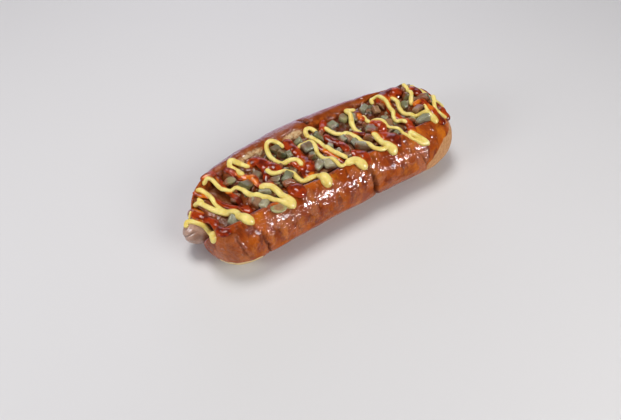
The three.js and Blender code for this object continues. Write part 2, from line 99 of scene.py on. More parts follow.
# Strands: width, width of the blob at the end, and the route in plan.
MUSTARD = [
    (4.5, 8, [(-110, 19), (-107, 18), (-105, 13), (-104, 5), (-104, -2), (-103, -9), (-101, -15),
              (-98, -20), (-96, -24), (-96, -30), (-95, -36), (-92, -41)]),
    (4.5, 5, [(-117, 12), (-114, 7), (-111, 0), (-109, -5), (-106, -10), (-103, -15), (-100, -19)]),
    (4, 7.5, [(-103, 19), (-99, 20), (-95, 18), (-94, 10), (-93, 4), (-89, -1), (-84, -3), (-81, -8),
              (-80, -13), (-77, -20), (-73, -24), (-68, -29), (-64, -35), (-59, -41), (-55, -45)]),
    (5, 6, [(-69, -17), (-65, -17), (-61, -21), (-59, -26), (-58, -33), (-56, -39), (-54, -44)]),
    (4.2, 4.2, [(-73, 5), (-73, 14), (-76, 21), (-73, 25), (-69, 22), (-66, 18), (-63, 12)]),
    (4, 9, [(-54, -2), (-52, -7), (-46, -10), (-41, -10), (-38, -14), (-37, -21), (-35, -27), (-29, -30),
            (-22, -30), (-19, -35), (-19, -40), (-20, -44)]),
    (4, 4, [(-26, 14), (-27, 21), (-31, 25), (-36, 25), (-39, 21), (-41, 13), (-40, 5), (-37, -1),
            (-30, -5), (-26, -8), (-26, -15)]),
    (3.6, 3, [(-16, 6), (-12, 6), (-8, 7), (-4, 6), (-3, 2), (-4, -4), (-6, -10), (-5, -17), (-2, -23),
              (-1, -30), (0, -34), (6, -35)]),
    (4.2, 4.2, [(-1, 12), (1, 18), (4, 22), (8, 21), (10, 14)]),
    (4, 4, [(1, 12), (2, 6), (3, -2), (4, -9), (6, -17), (8, -24), (10, -30)]),
    (6, 8, [(6, -35), (11, -35), (15, -37), (17, -41), (18, -46)]),
    (4.2, 4.2, [(18, 12), (20, 7), (22, 1), (26, -3), (30, -4), (32, -9), (34, -15), (35, -21),
                (36, -27), (37, -33), (41, -38), (46, -40)]),
    (4.2, 4.2, [(57, 17), (50, 21), (49, 16), (46, 9), (42, 2), (41, -5), (43, -10)]),
    (3.8, 3.8, [(59, 7), (57, 1), (57, -5)]),
    (3.2, 6.5, [(61, -3), (64, -8), (65, -15), (66, -21), (69, -26), (71, -31), (72, -37), (75, -43),
                (79, -47), (84, -52)]),
    (5.5, 8, [(48, -20), (49, -26), (49, -33), (50, -39), (51, -43), (50, -47)]),
    (3.8, 3.8, [(77, 15), (80, 20), (86, 20), (87, 14), (87, 8), (85, 0), (84, -6), (80, -12),
                (79, -17), (82, -20), (82, -26)]),
    (5, 6, [(76, -37), (80, -42), (84, -48), (87, -53)]),
    (4, 7, [(95, 9), (97, 3), (94, -4), (92, -12), (93, -18), (97, -23), (101, -25), (104, -29),
            (107, -34), (108, -40)]),
    (4, 4, [(115, 15), (114, 9), (112, 2), (108, -4), (104, -10)]),
    (3.6, 3.6, [(121, 10), (127, 5), (129, -1), (129, -7), (126, -15), (121, -22), (118, -29),
                (120, -34), (122, -39)]),
    (3, 3, [(111, -19), (109, -25), (107, -31)]),
    (4.2, 5.5, [(-133, -3), (-130, 0), (-127, -3), (-124, -7), (-121, -11), (-119, -16), (-119, -23),
                (-121, -29), (-123, -32)]),
    (2, 2, [(-127, 2), (-123, 6)]),
    (3.5, 3, [(-113, 12), (-111, 6)]),
    (2.5, 2.5, [(131, -12), (131, -20), (130, -27)]),
    (6.5, 7.5, [(-97, -26), (-96, -31), (-94, -37), (-92, -42)]),
]
KETCHUP = [
    (4.5, 4.5, [(-113, 19), (-110, 14), (-106, 10), (-103, 5), (-101, -2), (-99, -9), (-96, -15),
                (-92, -21), (-89, -26)]),
    (4.5, 6, [(-103, 22), (-97, 23), (-91, 21), (-90, 15), (-91, 8), (-91, 2), (-90, -5), (-88, -12),
              (-87, -19), (-86, -25), (-88, -30)]),
    (4.5, 4.5, [(-82, 20), (-78, 16), (-76, 9), (-74, 4), (-70, 0), (-68, -5), (-68, -11), (-65, -15),
                (-61, -16), (-59, -21), (-57, -27)]),
    (7, 7, [(-61, 14), (-55, 14), (-52, 9), (-50, 3), (-47, -2), (-44, -7)]),
    (4.5, 4.5, [(-55, 8), (-54, 2), (-56, -5), (-60, -11)]),
    (6.5, 6.5, [(-19, 20), (-21, 12), (-21, 5), (-21, -2), (-20, -9), (-20, -15), (-23, -21),
                (-25, -26)]),
    (5, 6, [(-33, -4), (-29, -6), (-28, -12), (-28, -18), (-28, -25), (-28, -30)]),
    (9, 9, [(-47, -29), (-46, -35), (-43, -41)]),
    (5, 5, [(24, 22), (19, 17), (15, 11)]),
    (4, 4, [(-1, -1), (0, -7), (2, -14), (4, -21), (6, -28), (8, -33)]),
    (5, 5, [(12, 4), (13, -3), (16, -10), (17, -17), (15, -24)]),
    (8, 8, [(19, -27), (23, -32), (23, -38), (21, -44)]),
    (4.5, 4.5, [(57, 15), (55, 8), (54, 1)]),
    (7, 8, [(58, -6), (61, -12), (60, -19), (56, -24), (57, -30), (57, -37), (59, -43)]),
    (5, 6, [(96, 20), (90, 18), (88, 11), (87, 3), (85, -5), (84, -12), (85, -20), (85, -27),
            (82, -34), (79, -38)]),
    (6, 6, [(97, 19), (102, 14), (101, 6)]),
    (7, 7, [(118, 9), (119, 2), (118, -5)]),
    (4.5, 4.5, [(104, -14), (109, -13), (114, -14), (114, -20), (110, -26)]),
    (5, 6, [(128, 6), (132, 0), (132, -9), (131, -17), (128, -25), (124, -32), (126, -39)]),
    (6, 7, [(115, -24), (113, -31), (113, -37), (115, -43)]),
    (7, 8, [(-118, 13), (-121, 7), (-120, -2), (-117, -8), (-115, -13), (-114, -19), (-115, -27),
            (-115, -34), (-110, -37)]),
    (3, 3, [(36, -6), (39, -11), (41, -17)]),
    (5, 5, [(49, -18), (54, -24)]),
    (6, 6, [(-101, 21), (-97, 22), (-91, 22)]),
    (9, 9, [(84, 13), (92, 14), (100, 13), (107, 9)]),
    (9, 9, [(52, -27), (58, -32), (62, -38)]),
]
# How each sauce is poured: height of a strand for its width, how far its middle rises above what is below
# as a share of that height, how far strands run together, how many points of it bridge a hollow, how much
# wider it lies away from the bare sausage, and a seed.
KETCHUP_POUR = {"flat": 0.55, "rise": 0.30, "merge": 2.8, "bridge": 12, "spread": 1.45, "seed": 300}
MUSTARD_POUR = {"flat": 0.76, "rise": 0.30, "merge": 0.9, "bridge": 15, "spread": 1.12, "seed": 500}
# Spots where the two sauces are stirred together, as x, y and reach.
STIRRED = [
    (-113, 5, 10), (-71, -1, 6), (-70, -9, 5), (53, 7, 6), (4, -11, 6), (7, -22, 6), (107, -12, 6),
    (119, -12, 6), (114, -24, 5),
]

# The least height of a strand where it crosses the bare sausage, from left to right, and the brown glaze
# over that sausage: its thickness, its least height beside the sausage and how round it meets it.
BRIDGE = 37.5, 43
GLAZE_THICKNESS, GLAZE_HEIGHT, GLAZE_FILLET = 2.4, 36.5, 5
BARE_RIGHT = -84  # no dice hide the sausage to the left of this
# Cells of the grids that the skins are made from.
BUN_CELL, HEAP_CELL, KETCHUP_CELL, MUSTARD_CELL = 1.03, 0.8, 0.55, 0.5
# The boxes of those grids, as two corners.
BUN_BOX = (-132, -66, -3), (142, 55, 56)
HEAP_BOX = (HEAP_LEFT - 3, -36, 14), (HEAP_RIGHT + 4, 26, 56)
SAUCE_BOX = (-140, -62, 16), (138, 32, 66)
HEAP_FOOT = 15  # the core of the heap ends here, inside the slit

# ---- Numbers ----

def ramp(low, high, value):
    t = np.clip((value - low) / (high - low), 0, 1)
    return t * t * (3 - 2 * t)


def mix(a, b, t):
    return a + (b - a) * t


def soft_max(a, b, radius):
    """The larger of two fields, with the edge where they meet rounded off."""
    h = np.maximum(radius - np.abs(a - b), 0) / radius
    return np.maximum(a, b) + h * h * radius / 4


def soft_min(a, b, radius):
    return -soft_max(-a, -b, radius)


def noise(points, size, seed):
    """Smooth noise from -1 to 1 whose features are about size across, at points of any shape (..., 3)."""
    q = np.asarray(points, float) / size + seed * 17.31
    cell = np.floor(q).astype(np.int64)
    f = q - cell
    f = f * f * (3 - 2 * f)
    total = 0.0
    for corner in range(8):
        step = np.array([corner & 1, corner >> 1 & 1, corner >> 2])
        c = cell + step
        h = (c[..., 0] * 73856093 ^ c[..., 1] * 19349663 ^ c[..., 2] * 83492791) + seed * 9176
        h = (h ^ h >> 13) * 1274126177
        value = (h >> 7 & 0xFFFF) / 32767.5 - 1
        total = total + value * np.prod(np.where(step, f, 1 - f), axis=-1)
    return total


def look_up(table, low, step, u, v):
    """Values of a table at u and v along its two axes, between its points."""
    u, v = (np.clip((np.asarray(w) - a) / step, 0, n - 1.001) for w, a, n in zip((u, v), low, table.shape))
    u, v = np.broadcast_arrays(u, v)
    i, j = u.astype(int), v.astype(int)
    a, b = u - i, v - j
    return ((1 - a) * (1 - b) * table[i, j] + a * (1 - b) * table[i + 1, j]
            + (1 - a) * b * table[i, j + 1] + a * b * table[i + 1, j + 1])


def end_scale(distance, end):
    """How far a section has shrunk at a distance from the end of a rounded body."""
    length, roundness = end
    inward = 1 - np.clip(distance / length, 0, 1)
    return (1 - inward ** roundness) ** (1 / roundness)


# ---- Heights of what lies on top ----

def bun_scale(x):
    return end_scale(x - BUN_LEFT, END_LEFT) * end_scale(BUN_RIGHT - x, END_RIGHT)


def bun_half_width(x, y):
    near = BUN_NEAR + BUN_SWELL * ramp(-40, 90, x)
    bow = np.where(x < 0, end_scale(BOW_LEFT[0] - np.abs(x), BOW_LEFT),
                   end_scale(BOW_RIGHT[0] - np.abs(x), BOW_RIGHT))
    return np.where(y < 0, near, BUN_FAR * bow)


def loaf_top(x, y):
    scale = bun_scale(x)
    reach = np.clip(np.abs(y) / (bun_half_width(x, y) * scale + 1e-6), 0, 1)
    top = WAIST + RISE * scale * (1 - reach ** ROUNDNESS) ** (1 / ROUNDNESS)
    return np.where(reach < 1, top, 0)


def wall_top(x, y):
    side = np.sign(y - SAUSAGE_Y)
    foot = SAUSAGE_Y + side * SAUSAGE_RADIUS
    lip = SLIT_CENTRE + side * SLIT_HALF
    share = (y - foot) / (lip - foot + (lip == foot))
    beyond = (np.abs(y - SLIT_CENTRE) - SLIT_HALF) / SLIT_FLARE
    top = np.where(share < 0, 0, mix(SAUSAGE_Z, SLIT_LIP, share))
    top = np.where(share < 1, top, SLIT_LIP + SLIT_FLARE_RISE * beyond)
    return np.where((beyond >= 1) | (x > SLIT_RIGHT), 999, top)


def sausage_top(x, y):
    tip = np.minimum(x - SAUSAGE_LEFT, SAUSAGE_RIGHT - x)
    radius = SAUSAGE_RADIUS * end_scale(tip, (SAUSAGE_TIP, 2))
    across = np.abs(y - SAUSAGE_Y)
    top = SAUSAGE_Z + np.sqrt(np.maximum(radius ** 2 - across ** 2, 0))
    return np.where((tip > 0) & (across < radius), top, 0)


def heap_top(x, y):
    beside = mix(HEAP_BARE, HEAP_NEAR, ramp(11, 18, SAUSAGE_Y - y))
    full = HEAP_TOP - HEAP_FAR_DROP * ramp(2, 22, y) + HEAP_MOUND * ramp(85, 112, x)
    top = mix(beside, full, ramp(-94, -82, x)) - HEAP_END_DROP * ramp(120, HEAP_RIGHT, x)
    out = (x < HEAP_LEFT) | (x > HEAP_RIGHT) | (np.abs(y - SLIT_CENTRE) > SLIT_HALF)
    return np.where(out, 0, top)


class Heights:
    """A map of heights over the plan, half a millimetre a cell."""
    step, low = 0.5, (-142, -68)

    def __init__(self):
        self.x = np.arange(self.low[0], 142, self.step)
        self.y = np.arange(self.low[1], 58, self.step)
        self.gx, self.gy = np.meshgrid(self.x, self.y, indexing="ij")
        self.z = np.zeros_like(self.gx)

    def raise_to(self, other):
        self.z = np.maximum(self.z, other)

    def window(self, x, y, reach):
        i0, i1 = (int(np.clip((x + s * reach - self.low[0]) / self.step, 0, len(self.x))) for s in (-1, 1))
        j0, j1 = (int(np.clip((y + s * reach - self.low[1]) / self.step, 0, len(self.y))) for s in (-1, 1))
        return slice(i0, i1 + 1), slice(j0, j1 + 1)

    def at(self, x, y, z=None):
        return look_up(self.z if z is None else z, self.low, self.step, x, y)


def soften(z, cells):
    """A map of heights with its edges rounded off."""
    for axis in (0, 1, 0, 1):
        z = sum(np.roll(z, k, axis) for k in range(-cells, cells + 1)) / (2 * cells + 1)
    return z


# ---- Skins: a closed mesh where a field on a grid passes through zero ----

class Field:
    """A box of grid points, with a value at each: negative inside the thing."""

    def __init__(self, low, high, cell):
        self.low, self.cell = np.array(low, float), cell
        axes = [np.arange(a, b + cell, cell) for a, b in zip(low, high)]
        self.axes = axes
        self.x, self.y, self.z = np.meshgrid(*axes, indexing="ij", sparse=True)
        self.value = np.full([len(a) for a in axes], 9.0, np.float32)

    def part(self, low, high):
        """Slices of the grid that hold the box from low to high."""
        cut = []
        for axis, a, b, c in zip(self.axes, low, high, self.low):
            i = int(np.clip((a - c) / self.cell, 0, len(axis)))
            j = int(np.clip((b - c) / self.cell + 2, 0, len(axis)))
            cut.append(slice(i, j))
        return tuple(cut)

    def sample(self, points):
        """Value and gradient at points."""
        v = self.value
        q = (points - self.low) / self.cell
        q = np.clip(q, 0, np.array(v.shape) - 1.001)
        i = q.astype(int)
        f = q - i
        value, slope = 0, np.zeros_like(points)
        for c in range(8):
            s = np.array([c & 1, c >> 1 & 1, c >> 2])
            w = np.where(s, f, 1 - f)
            at = v[tuple((i + s).T)]
            value = value + at * w.prod(1)
            for k in range(3):
                rest = np.delete(w, k, 1).prod(1)
                slope[:, k] += at * rest * (1 if s[k] else -1) / self.cell
        return value, slope

    def skin(self, passes=2):
        """Points and quads of the surface.

        Each edge of the grid that the surface crosses gives a quad between the four cells around it, and
        each cell's point is the mean of the crossings on its edges. The points then move to the surface.
        """
        v = self.value
        for k in range(3):  # nothing may reach the edge of the box
            edge = [slice(None)] * 3
            for end in (0, -1):
                edge[k] = end
                v[tuple(edge)] = np.maximum(v[tuple(edge)], 0.01)
        shape = np.array(v.shape) - 1
        cells = int(shape.prod())
        total, count, quads = np.zeros((3, cells)), np.zeros(cells), []
        for axis in range(3):
            order = (axis, (axis + 1) % 3, (axis + 2) % 3)
            a = np.transpose(v, order)
            i, j, k = np.nonzero((a[:-1] < 0) != (a[1:] < 0))
            keep = (j > 0) & (k > 0) & (j < a.shape[1] - 1) & (k < a.shape[2] - 1)
            i, j, k = i[keep], j[keep], k[keep]
            first, second = a[i, j, k], a[i + 1, j, k]
            where = [i + first / (first - second), j, k]
            around = []
            for dj, dk in ((-1, -1), (0, -1), (0, 0), (-1, 0)):
                index = [None] * 3
                for name, value in zip(order, (i, j + dj, k + dk)):
                    index[name] = value
                flat = np.ravel_multi_index(index, shape)
                around.append(flat)
                count += np.bincount(flat, minlength=cells)
                for name, value in zip(order, where):
                    total[name] += np.bincount(flat, weights=value, minlength=cells)
            quad = np.stack(around, 1)
            quad[first > 0] = quad[first > 0][:, ::-1]
            quads.append(quad)
        used = np.nonzero(count)[0]
        lookup = np.zeros(cells, int)
        lookup[used] = np.arange(len(used))
        points = (total[:, used] / count[used]).T * self.cell + self.low
        quads = lookup[np.concatenate(quads)]
        for _ in range(passes):
            value, slope = self.sample(points)
            size = (slope ** 2).sum(1) + 1e-6
            points -= slope * np.clip(value / size, -self.cell, self.cell)[:, None]
        return points, quads


def normals(points, quads):
    a, b, c, d = (points[quads[:, k]] for k in range(4))
    n = np.cross(c - a, d - b)
    total = np.stack([
        sum(np.bincount(quads[:, k], weights=n[:, m], minlength=len(points)) for k in range(4))
        for m in range(3)
    ], 1)
    return total / (np.linalg.norm(total, axis=1, keepdims=True) + 1e-9)


# ---- Blender meshes ----

def piece(name, points, quads, material, replaced=(), numbers=None, colours=None):
    """A smooth mesh from points in millimetres, with named numbers and colours on its points."""
    mesh = bpy.data.meshes.new(name)
    moved = (np.asarray(points, float) - (0, MIDDLE_Y, 0)) * MM
    moved[:, 2] = np.maximum(moved[:, 2], 0)
    sides = quads.shape[1]
    mesh.vertices.add(len(moved))
    mesh.vertices.foreach_set("co", moved.astype(np.float32).ravel())
    mesh.loops.add(quads.size)
    mesh.loops.foreach_set("vertex_index", quads.astype(np.int32).ravel())
    mesh.polygons.add(len(quads))
    mesh.polygons.foreach_set("loop_start", np.arange(0, quads.size, sides, dtype=np.int32))
    mesh.polygons.foreach_set("use_smooth", np.ones(len(quads), bool))
    mesh.update(calc_edges=True)
    mesh.validate()
    for key, values in (numbers or {}).items():
        mesh.attributes.new(key, "FLOAT", "POINT").data.foreach_set("value", np.asarray(values, np.float32))
    for key, values in (colours or {}).items():
        rgba = np.ones((len(points), 4), np.float32)
        rgba[:, :3] = values
        mesh.attributes.new(key, "FLOAT_COLOR", "POINT").data.foreach_set("color", rgba.ravel())
    mesh.materials.append(material)
    made = bpy.data.objects.new(name, mesh)
    bpy.context.scene.collection.objects.link(made)
    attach(made, "root")
    if replaced:
        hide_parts(*replaced)


class Shader:
    """A material, with short ways to add and join its nodes."""

    def __init__(self, name, **sockets):
        self.material = bpy.data.materials.new(name)
        self.material.use_nodes = True
        self.tree = self.material.node_tree
        self.principled = self.tree.nodes["Principled BSDF"]
        for key, value in sockets.items():
            self.principled.inputs[key.replace("_", " ")].default_value = value
        self.place = self.node("ShaderNodeTexCoord").outputs["Object"]

    def node(self, kind, settings=None, **inputs):
        """Adds a node. An input is named, or is _ and its place in the node's list."""
        made = self.tree.nodes.new(kind)
        for key, value in (settings or {}).items():
            setattr(made, key, value)
        for key, value in inputs.items():
            socket = made.inputs[int(key[1:]) if key[1:].isdigit() else key.replace("_", " ")]
            if hasattr(value, "is_output"):
                self.tree.links.new(value, socket)
            else:
                socket.default_value = value
        return made

    def number(self, name):
        return self.node("ShaderNodeAttribute", {"attribute_name": name}).outputs["Fac"]

    def colour(self, name):
        return self.node("ShaderNodeAttribute", {"attribute_name": name}).outputs["Color"]

    def noise(self, size, detail=3.0, roughness=0.55, stretch=None):
        place = self.place
        if stretch:
            place = self.node("ShaderNodeMapping", Vector=place, Scale=stretch).outputs[0]
        return self.node("ShaderNodeTexNoise", Vector=place, Scale=1 / (size * MM), Detail=detail,
                         Roughness=roughness).outputs["Fac"]

    def cells(self, size):
        return self.node("ShaderNodeTexVoronoi", Vector=self.place, Scale=1 / (size * MM)).outputs["Distance"]

    def between(self, value, low, high, start=0.0, end=1.0):
        return self.node("ShaderNodeMapRange", {"interpolation_type": "SMOOTHSTEP"}, Value=value, _1=low,
                         _2=high, _3=start, _4=end).outputs[0]

    def math(self, operation, a, b):
        return self.node("ShaderNodeMath", {"operation": operation}, _0=a, _1=b).outputs[0]

    def times(self, a, b):
        return self.math("MULTIPLY", a, b)

    def most(self, a, b):
        return self.math("MAXIMUM", a, b)

    def without(self, a):
        return self.math("SUBTRACT", 1.0, a)

    def blend(self, share, first, second):
        def rgba(value):
            return value if hasattr(value, "is_output") else (*value, 1.0)
        return self.node("ShaderNodeMix", {"data_type": "RGBA"}, _0=share, _6=rgba(first),
                         _7=rgba(second)).outputs[2]

    def stain(self, colour, share, amount, over):
        """A colour with some of another over it: amount of it where share is 1."""
        return self.blend(self.times(share, amount), colour, over)

    def bump(self, height, distance, strength=1.0, below=None):
        extra = {"Normal": below} if below else {}
        return self.node("ShaderNodeBump", Height=height, Distance=distance * MM, Strength=strength,
                         **extra).outputs[0]

    def set(self, **sockets):
        for key, value in sockets.items():
            self.tree.links.new(value, self.principled.inputs[key.replace("_", " ")])
        return self.material


# ---- Camera, floor and lights ----

def camera():
    """The photograph's own view: 29.45 mm on a 36 mm sensor, looking down at 51 degrees."""
    place = np.array([-198.75, -259.35 - MIDDLE_Y, 362.6]) * MM
    ahead = np.array([0.37386, 0.50048, -0.78087])
    right = np.array([0.80115, -0.59847, 0.0])
    up = np.cross(right, ahead)
    roll = np.radians(1.42)
    right, up = np.cos(roll) * right + np.sin(roll) * up, np.cos(roll) * up - np.sin(roll) * right
    data = bpy.data.cameras.new("camera")
    data.sensor_width, data.lens = 36.0, 29.45
    data.clip_start, data.clip_end = 0.01, 20.0
    made = bpy.data.objects.new("camera", data)
    made.matrix_world = Matrix([[*row, p] for row, p in zip(np.stack([right, up, -ahead], 1), place)]
                               + [[0, 0, 0, 1]])
    bpy.context.scene.collection.objects.link(made)
    bpy.context.scene.camera = made


def lamp(name, place, size, power, colour, diffuse=True, glossy=True):
    """A soft square lamp that faces the hot dog, and may leave out either kind of reflection."""
    data = bpy.data.lights.new(name, "AREA")
    data.size, data.energy, data.color = size, power, colour
    made = bpy.data.objects.new(name, data)
    made.location = place
    made.rotation_euler = (-made.location).to_track_quat("-Z", "Y").to_euler()
    made.visible_diffuse, made.visible_glossy = diffuse, glossy
    bpy.context.scene.collection.objects.link(made)


def floor():
    shader = Shader("floor", Base_Color=(0.66, 0.645, 0.64, 1), Roughness=0.7)
    half = 3.0
    mesh = bpy.data.meshes.new("floor")
    mesh.from_pydata([(-half, -half, 0), (half, -half, 0), (half, half, 0), (-half, half, 0)], [],
                     [(0, 1, 2, 3)])
    mesh.materials.append(shader.material)
    made = bpy.data.objects.new("floor", mesh)
    bpy.context.scene.collection.objects.link(made)


def studio():
    bpy.context.scene.view_settings.view_transform = "Standard"
    world = bpy.data.worlds.new("studio")
    world.use_nodes = True
    sky = world.node_tree.nodes["Background"].inputs
    sky["Color"].default_value, sky["Strength"].default_value = (0.82, 0.88, 1.0, 1), 0.12
    bpy.context.scene.world = world
    lamp("window", (0.35, -0.95, 0.75), 0.7, 8, (1.0, 0.99, 0.97), glossy=False)
    lamp("glint", (0.45, -0.95, 0.55), 0.24, 26, (1.0, 1.0, 1.0), diffuse=False)
    lamp("above", (0.0, 0.40, 1.25), 0.5, 9.5, (1.0, 0.985, 0.97))
    lamp("side", (-1.0, 0.1, 0.5), 0.35, 4.3, (0.95, 0.96, 1.0))
    lamp("back", (0.9, 1.5, 0.25), 1.3, 10, (0.72, 0.72, 1.0))


camera()
floor()
studio()

# ---- Bun ----

def slit_section():
    """The outline of the slit across the bun, as y and z."""
    lean = SLIT_CENTRE - SAUSAGE_Y
    radius = SAUSAGE_RADIUS + 0.6
    arc = [(-radius * np.cos(t), SAUSAGE_Z - radius * np.sin(t)) for t in np.linspace(0, np.pi, 17)]
    wide = SLIT_HALF + SLIT_FLARE
    rim = SLIT_LIP + SLIT_FLARE_RISE
    walls = [(lean + SLIT_HALF, SLIT_LIP), (lean + wide, rim), (lean + wide, 90), (lean - wide, 90),
             (lean - wide, rim), (lean - SLIT_HALF, SLIT_LIP)]
    return np.array([(SAUSAGE_Y + y, z) for y, z in arc + walls])


def outline_distance(outline, y, z):
    """Distance to a closed outline, negative inside it."""
    best, inside = np.full(np.broadcast(y, z).shape, 1e9), np.zeros(np.broadcast(y, z).shape, bool)
    for (y0, z0), (y1, z1) in zip(outline, np.roll(outline, -1, axis=0)):
        dy, dz = y1 - y0, z1 - z0
        t = np.clip(((y - y0) * dy + (z - z0) * dz) / (dy * dy + dz * dz), 0, 1)
        best = np.minimum(best, (y - y0 - t * dy) ** 2 + (z - z0 - t * dz) ** 2)
        inside ^= ((z0 > z) != (z1 > z)) & (y < y0 + (z - z0) / (dz if dz else 1e-9) * dy)
    return np.where(inside, -1, 1) * np.sqrt(best)


def loaf_field(grid):
    """Roughly the distance to the loaf before it was slit."""
    x, y, z = grid.x, grid.y, grid.z
    left = x < (BUN_LEFT + BUN_RIGHT) / 2
    length, sharp = np.where(left, END_LEFT[0], END_RIGHT[0]), np.where(left, END_LEFT[1], END_RIGHT[1])
    tip = np.where(left, x - BUN_LEFT, BUN_RIGHT - x)
    inward = np.maximum(1 - tip / length, 0)
    half = np.maximum(bun_half_width(np.clip(x, BUN_LEFT + 1, BUN_RIGHT - 1), y), 8)
    high = np.where(z > WAIST, RISE, SAG)
    section = ((np.abs(y) / half) ** ROUNDNESS + (np.abs(z - WAIST) / high) ** ROUNDNESS) ** (1 / ROUNDNESS)
    reach = (section ** sharp + inward ** sharp) ** (1 / sharp)
    slopes = np.gradient(reach, grid.cell)
    return (reach - 1) / np.sqrt(sum(s * s for s in slopes) + 1e-5)


def crease_depth(points):
    """How far each of the CREASES pulls the crust in, and how strongly painted shade darkens the crust there.
    """
    depth, dark = np.zeros(len(points)), np.zeros(len(points))
    for index, (x, y, z, reach, deep, width, lean) in enumerate(CREASES):
        up = (points[:, 2] - z) / reach
        flat = points * (0, 1, 1)
        wander = 1.6 * noise(flat, 8, 40 + index) + 0.6 * noise(flat, 2.5, 50 + index)
        off = points[:, 0] - x + lean * up / 2 + wander
        along = np.hypot(points[:, 1] - y, points[:, 2] - z) / reach
        hold = np.clip(1 - along ** 2, 0, 1) ** 0.7 * (0.75 + 0.35 * noise(points, 5, 60 + index))
        groove = np.exp(-(off / width) ** 2)
        shoulder = np.exp(-(off / (4 * width)) ** 2)
        depth += hold * deep * (0.60 * groove + 0.30 * shoulder)
        # painted shade: the groove is painted darker, most along its middle
        dark = np.maximum(dark, hold * groove * min(1, 0.2 + deep / 6))
    return depth, np.clip(1.7 * dark, 0, 1)


def blot(points, patch, seed):
    """1 inside a ragged oval patch of the surface, 0 outside it."""
    middle, half = np.array(patch[:3]), np.array(patch[3:])
    reach = np.sqrt((((points - middle) / half) ** 2).sum(1)) + 0.16 * noise(points, 7, seed)
    return ramp(1.12, 0.9, reach + 0.08 * noise(points, 2.5, seed + 1))


def slit_cut(grid):
    """Distance to the slit, negative inside it. Its lips waver along the bun."""
    along = grid.x[..., None] * (1, 0, 0)
    waver = 1.1 * noise(along, 21, 3) + 0.6 * noise(along, 8, 4)
    step, low = 0.5, (-70, -6)
    y, z = np.meshgrid(np.arange(low[0], 60, step), np.arange(low[1], 92, step), indexing="ij")
    section = outline_distance(slit_section(), y, z)
    cut = look_up(section, low, step, grid.y + waver * ramp(30, 46, grid.z), grid.z)
    return soft_max(cut, grid.x - SLIT_RIGHT, 6.0)


def bun_marks(skin):
    """Where the bun is pale, torn, high, on its far side (where painted shade goes), dull, and soaked with
    sauce.
    """
    x, y, z = skin.T
    edge = np.minimum(PALE_HEIGHT + PALE_SLOPE * (x - PALE_END), PALE_TOP) + 1.6 * noise(skin, 6, 17)
    pale = ramp(2.2, -1.8, z - edge) * ramp(-2, 2, x - PALE_END + 1.5 * noise(skin, 5, 18)) * ramp(30, 10, y)
    seam = ramp(18.0, 16.0, z + 1.6 * noise(skin, 6, 19)) * ramp(-20, -30, y)
    seam = seam * ramp(SEAM[0] - 4, SEAM[0] + 4, x) * ramp(SEAM[1] + 4, SEAM[1] - 4, x)
    dull = sum(blot(skin, patch, 20 + k) for k, patch in enumerate(DULL))
    bare = sum(blot(skin, patch, 30 + k) for k, patch in enumerate(BARE_CRUMB))
    return {"pale": pale, "seam": seam, "height": z / 50, "far": ramp(14, 30, y),
            "dull": np.clip(dull, 0, 1), "soaked": 1 - np.clip(bare, 0, 1)}


def bun():
    grid = Field(*BUN_BOX, BUN_CELL)
    loaf = loaf_field(grid)
    grid.value[:] = soft_max(soft_max(loaf, -grid.z, 5.0), -slit_cut(grid), 2.2)
    skin, quads = grid.skin()
    out = normals(skin, quads)
    # how much of each point is crumb: the walls of the slit, a little below its lip
    grid.value = loaf
    inside = -grid.sample(skin)[0]
    crumb = ramp(1.6, 3.6, inside + 0.9 * noise(skin, 5, 8) + 0.4 * noise(skin, 1.7, 9)) * (skin[:, 2] > 3)
    # the creases give the crust its depth and the painted shade of its colour
    depth, dark = crease_depth(skin)
    swell = 0.9 * noise(skin, 34, 11) + 0.45 * noise(skin, 13, 12)
    wrinkles = 0.10 * noise(skin * (0.45, 1, 1), 3.6, 13) + 0.12 * noise(skin, 2.6, 14)
    pores = -0.5 * ramp(0.15, 0.7, noise(skin, 2.4, 15))
    move = (1 - crumb) * (swell + wrinkles - depth) + crumb * (0.3 * noise(skin, 6, 16) + pores)
    skin = skin + out * (ramp(0.0, 6.0, skin[:, 2]) * move)[:, None]
    piece("bun_crust", skin, quads, crust_material(), ["bun"],
          {"crumb": crumb, "crease": dark, "outer": ramp(0.20, 0.65, out[:, 1]), **bun_marks(skin)})


def crust_colour(s, dull):
    """Glaze over baked crust: browner in strokes near the top, darker on the far side and in the creases as
    painted shade, paler where dull.
    """
    colour = s.blend(s.between(s.noise(24, 3), 0.38, 0.62), (0.50, 0.106, 0.009), (0.31, 0.050, 0.006))
    strokes = s.between(s.noise(6, 4, 0.6, stretch=(1, 0.4, 0.4)), 0.48, 0.62)
    strokes = s.times(strokes, s.between(s.number("height"), 0.25, 0.70, 0.2, 1.0))
    colour = s.stain(colour, strokes, 0.80, (0.16, 0.024, 0.004))
    bright = s.between(s.noise(9, 4, stretch=(1, 0.5, 0.5)), 0.50, 0.70)
    colour = s.stain(colour, bright, 0.65, (0.68, 0.195, 0.014))
    colour = s.stain(colour, s.between(s.noise(2.6, 4, 0.7), 0.48, 0.72), 0.22, (0.18, 0.030, 0.006))
    # painted shade: the far side of the crust is painted darker brown
    colour = s.stain(colour, s.number("far"), 0.85, (0.200, 0.038, 0.008))
    dried = s.blend(s.between(s.noise(2.8, 4, 0.7), 0.40, 0.66), (0.46, 0.135, 0.044), (0.32, 0.078, 0.020))
    colour = s.stain(colour, dull, 0.55, dried)
    colour = s.stain(colour, s.between(s.number("height"), 0.36, 0.06), 0.5, (0.40, 0.085, 0.028))
    burnt = s.times(s.between(s.cells(3.1), 0.10, 0.05), s.between(s.noise(9, 2), 0.56, 0.62))
    colour = s.stain(colour, burnt, 0.85, (0.030, 0.010, 0.006))
    # painted shade: the creases and the crack are painted almost black-brown
    return s.stain(colour, s.number("crease"), 0.9, (0.060, 0.011, 0.004))


